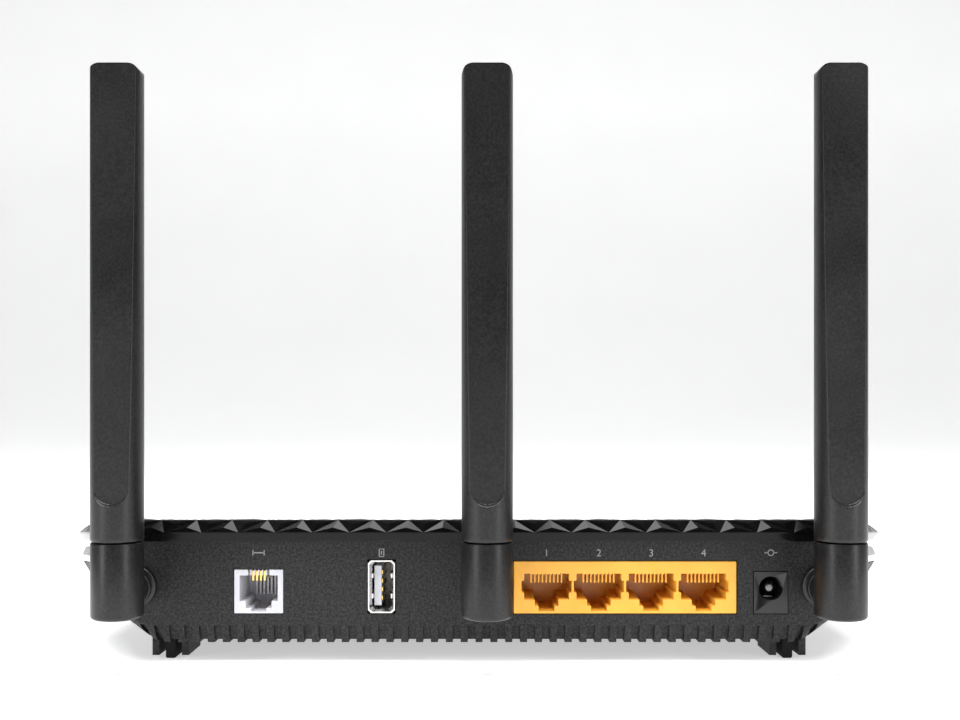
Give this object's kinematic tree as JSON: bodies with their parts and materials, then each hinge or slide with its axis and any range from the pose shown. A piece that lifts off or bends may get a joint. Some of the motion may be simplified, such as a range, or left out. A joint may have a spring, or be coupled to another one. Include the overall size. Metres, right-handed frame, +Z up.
{
  "type": "wireless router",
  "caption": "Black wedge-shaped wireless router with hinged paddle antennas behind it, network, telephone, data and power sockets in its rear panel, and a silver trim band.",
  "frame": {"origin": "under the middle of the whole object, at the level of the surface it stands on", "axes": "connector panel and antennas face -Y, +X is to the right seen from that side, +Z is up"},
  "size_m": [0.2308, 0.163, 0.1544],
  "materials": {
    "cover_gloss": "moulded facets, high gloss",
    "smoked_window": "smoked, polished",
    "silver_trim": "silver paint, satin",
    "housing_black": "fine spark texture",
    "antenna_black": "fine spark texture",
    "button_black": "fine texture",
    "foot_rubber": "matt",
    "screw_steel": "blackened zinc",
    "board_green": "solder mask",
    "socket_yellow": "moulded, semi gloss",
    "socket_white": "moulded, semi gloss",
    "socket_black": "moulded, semi gloss",
    "contact_gold": "gold plated",
    "plated_steel": "tin plated",
    "chip_black": "moulded epoxy",
    "pad_grey": "soft pad",
    "sink_aluminium": "extruded",
    "capacitor_can": "sleeved can",
    "lamp_white": "clear lens",
    "clear_guide": "clear moulded",
    "lead_grey": "thin jacket"
  },
  "bodies": {
    "housing": {"top_cover": "cover_gloss", "status_window": "smoked_window", "trim_band": "silver_trim", "bottom_shell": "housing_black", "rubber_feet": "foot_rubber", "case_screws": "screw_steel", "main_board": "board_green", "lan_socket_block": "socket_yellow", "lan_contacts": "contact_gold", "phone_socket": "socket_white", "phone_contacts": "contact_gold", "usb_shell": "plated_steel", "usb_tongue": "socket_white", "usb_contacts": "contact_gold", "power_socket": "socket_black", "power_pin": "plated_steel", "power_contact": "plated_steel", "rear_panel": "housing_black", "processor": "chip_black", "thermal_pad": "pad_grey", "heat_sink": "sink_aluminium", "memory_chips": "chip_black", "radio_shields": "plated_steel", "line_transformers": "chip_black", "capacitors": "capacitor_can", "status_lamps": "lamp_white", "light_guide": "clear_guide", "button_switches": "chip_black", "lead_sockets": "contact_gold", "board_lead_left": "lead_grey", "board_lead_middle": "lead_grey", "board_lead_right": "lead_grey"},
    "knuckle_left": {"antenna_knuckle_left": "antenna_black", "antenna_clip_left": "plated_steel", "antenna_lead_left": "lead_grey"},
    "blade_left": {"antenna_blade_left": "antenna_black", "antenna_pivot_left": "antenna_black", "antenna_element_left": "board_green"},
    "knuckle_middle": {"antenna_knuckle_middle": "antenna_black", "antenna_clip_middle": "plated_steel", "antenna_lead_middle": "lead_grey"},
    "blade_middle": {"antenna_blade_middle": "antenna_black", "antenna_pivot_middle": "antenna_black", "antenna_element_middle": "board_green"},
    "knuckle_right": {"antenna_knuckle_right": "antenna_black", "antenna_clip_right": "plated_steel", "antenna_lead_right": "lead_grey"},
    "blade_right": {"antenna_blade_right": "antenna_black", "antenna_pivot_right": "antenna_black", "antenna_element_right": "board_green"},
    "power_key": {"power_button": "button_black"},
    "wireless_key": {"wireless_button": "button_black"},
    "reset_key": {"reset_button": "button_black"}
  },
  "joints": [
    {"name": "left_antenna_swing", "type": "hinge", "parent": "housing", "child": "knuckle_left", "pos_m": [-0.0913, -0.05995, 0.0208], "axis": [0, 1, 0], "range_deg": [-90, 30]},
    {"name": "left_antenna_twist", "type": "hinge", "parent": "knuckle_left", "child": "blade_left", "pos_m": [-0.0913, -0.07495, 0.0345], "axis": [0, 0, 1], "range_deg": [-90, 90]},
    {"name": "middle_antenna_swing", "type": "hinge", "parent": "housing", "child": "knuckle_middle", "pos_m": [0.00207, -0.05995, 0.0208], "axis": [0, 1, 0], "range_deg": [-30, 30]},
    {"name": "middle_antenna_twist", "type": "hinge", "parent": "knuckle_middle", "child": "blade_middle", "pos_m": [0.00207, -0.07495, 0.0345], "axis": [0, 0, 1], "range_deg": [-90, 90]},
    {"name": "right_antenna_swing", "type": "hinge", "parent": "housing", "child": "knuckle_right", "pos_m": [0.0913, -0.05995, 0.0208], "axis": [0, 1, 0], "range_deg": [-30, 90]},
    {"name": "right_antenna_twist", "type": "hinge", "parent": "knuckle_right", "child": "blade_right", "pos_m": [0.0913, -0.07495, 0.0345], "axis": [0, 0, 1], "range_deg": [-90, 90]},
    {"name": "power_press", "type": "slide", "parent": "housing", "child": "power_key", "axis": [-1, 0, 0], "range_m": [0, 0.0015], "stiffness_N_per_m": 1200},
    {"name": "wireless_press", "type": "slide", "parent": "housing", "child": "wireless_key", "axis": [-1, 0, 0], "range_m": [0, 0.0008], "stiffness_N_per_m": 1500},
    {"name": "reset_press", "type": "slide", "parent": "housing", "child": "reset_key", "axis": [-1, 0, 0], "range_m": [0, 0.0005], "stiffness_N_per_m": 1500}
  ]
}
